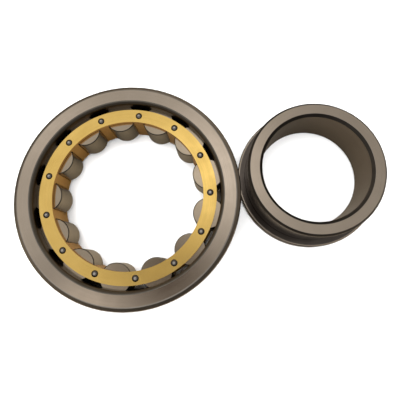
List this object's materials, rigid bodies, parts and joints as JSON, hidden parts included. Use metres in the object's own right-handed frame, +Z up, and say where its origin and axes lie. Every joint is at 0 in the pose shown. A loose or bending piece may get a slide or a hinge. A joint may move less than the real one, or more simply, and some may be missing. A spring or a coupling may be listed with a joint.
{
  "type": "cylindrical roller bearing",
  "caption": "Separable cylindrical roller bearing: ribbed outer ring with rollers in a riveted brass cage, and a loose inner ring with one rib.",
  "frame": {"origin": "centre of the outer ring, on its axis and halfway through its width", "axes": "+Z up along the outer ring's axis, out of the side that shows the riveted cage plate; +X from the outer ring to the inner ring that stands beside it; +Y completes the right-handed frame"},
  "size_m": [0.2665, 0.16, 0.037],
  "materials": {
    "ring_steel": "ground bearing steel, circular grain on the side faces, dark polished raceways",
    "roller_steel": "fine ground bearing steel",
    "cage_brass": "turned solid brass, satin",
    "rivet_steel": "smooth formed steel head"
  },
  "bodies": {
    "outer_ring": {"outer_ring": "ring_steel"},
    "inner_ring": {"inner_ring": "ring_steel"},
    "cage": {"cage_body": "cage_brass", "cage_cover": "cage_brass", "rivet_01": "rivet_steel", "rivet_02": "rivet_steel", "rivet_03": "rivet_steel", "rivet_04": "rivet_steel", "rivet_05": "rivet_steel", "rivet_06": "rivet_steel", "rivet_07": "rivet_steel", "rivet_08": "rivet_steel", "rivet_09": "rivet_steel", "rivet_10": "rivet_steel", "rivet_11": "rivet_steel", "rivet_12": "rivet_steel", "rivet_13": "rivet_steel"},
    "roller_01": {"roller_01": "roller_steel"},
    "roller_02": {"roller_02": "roller_steel"},
    "roller_03": {"roller_03": "roller_steel"},
    "roller_04": {"roller_04": "roller_steel"},
    "roller_05": {"roller_05": "roller_steel"},
    "roller_06": {"roller_06": "roller_steel"},
    "roller_07": {"roller_07": "roller_steel"},
    "roller_08": {"roller_08": "roller_steel"},
    "roller_09": {"roller_09": "roller_steel"},
    "roller_10": {"roller_10": "roller_steel"},
    "roller_11": {"roller_11": "roller_steel"},
    "roller_12": {"roller_12": "roller_steel"},
    "roller_13": {"roller_13": "roller_steel"}
  },
  "joints": [
    {"name": "cage_spin", "type": "hinge", "parent": "outer_ring", "child": "cage", "pos_m": [0, 0, 0], "axis": [0, 0, 1], "continuous": true},
    {"name": "inner_ring_spin", "type": "hinge", "parent": "outer_ring", "child": "inner_ring", "pos_m": [0.1336, 0, 0], "axis": [0, 0, 1], "continuous": true},
    {"name": "roller_01_spin", "type": "hinge", "parent": "cage", "child": "roller_01", "pos_m": [0.02699, 0.05218, 0], "axis": [0, 0, 1], "continuous": true},
    {"name": "roller_02_spin", "type": "hinge", "parent": "cage", "child": "roller_02", "pos_m": [0.04815, 0.03367, 0], "axis": [0, 0, 1], "continuous": true},
    {"name": "roller_03_spin", "type": "hinge", "parent": "cage", "child": "roller_03", "pos_m": [0.05828, 0.00743, 0], "axis": [0, 0, 1], "continuous": true},
    {"name": "roller_04_spin", "type": "hinge", "parent": "cage", "child": "roller_04", "pos_m": [0.05506, -0.0205, 0], "axis": [0, 0, 1], "continuous": true},
    {"name": "roller_05_spin", "type": "hinge", "parent": "cage", "child": "roller_05", "pos_m": [0.03922, -0.04374, 0], "axis": [0, 0, 1], "continuous": true},
    {"name": "roller_06_spin", "type": "hinge", "parent": "cage", "child": "roller_06", "pos_m": [0.0144, -0.05696, 0], "axis": [0, 0, 1], "continuous": true},
    {"name": "roller_07_spin", "type": "hinge", "parent": "cage", "child": "roller_07", "pos_m": [-0.01371, -0.05713, 0], "axis": [0, 0, 1], "continuous": true},
    {"name": "roller_08_spin", "type": "hinge", "parent": "cage", "child": "roller_08", "pos_m": [-0.03869, -0.04421, 0], "axis": [0, 0, 1], "continuous": true},
    {"name": "roller_09_spin", "type": "hinge", "parent": "cage", "child": "roller_09", "pos_m": [-0.05481, -0.02116, 0], "axis": [0, 0, 1], "continuous": true},
    {"name": "roller_10_spin", "type": "hinge", "parent": "cage", "child": "roller_10", "pos_m": [-0.05836, 0.00673, 0], "axis": [0, 0, 1], "continuous": true},
    {"name": "roller_11_spin", "type": "hinge", "parent": "cage", "child": "roller_11", "pos_m": [-0.04855, 0.03308, 0], "axis": [0, 0, 1], "continuous": true},
    {"name": "roller_12_spin", "type": "hinge", "parent": "cage", "child": "roller_12", "pos_m": [-0.02762, 0.05185, 0], "axis": [0, 0, 1], "continuous": true},
    {"name": "roller_13_spin", "type": "hinge", "parent": "cage", "child": "roller_13", "pos_m": [-0.00035, 0.05875, 0], "axis": [0, 0, 1], "continuous": true}
  ],
  "couplings": [
    {"joint": "roller_01_spin", "follows": "cage_spin", "ratio": -6.3455},
    {"joint": "roller_02_spin", "follows": "cage_spin", "ratio": -6.3455},
    {"joint": "roller_03_spin", "follows": "cage_spin", "ratio": -6.3455},
    {"joint": "roller_04_spin", "follows": "cage_spin", "ratio": -6.3455},
    {"joint": "roller_05_spin", "follows": "cage_spin", "ratio": -6.3455},
    {"joint": "roller_06_spin", "follows": "cage_spin", "ratio": -6.3455},
    {"joint": "roller_07_spin", "follows": "cage_spin", "ratio": -6.3455},
    {"joint": "roller_08_spin", "follows": "cage_spin", "ratio": -6.3455},
    {"joint": "roller_09_spin", "follows": "cage_spin", "ratio": -6.3455},
    {"joint": "roller_10_spin", "follows": "cage_spin", "ratio": -6.3455},
    {"joint": "roller_11_spin", "follows": "cage_spin", "ratio": -6.3455},
    {"joint": "roller_12_spin", "follows": "cage_spin", "ratio": -6.3455},
    {"joint": "roller_13_spin", "follows": "cage_spin", "ratio": -6.3455}
  ]
}
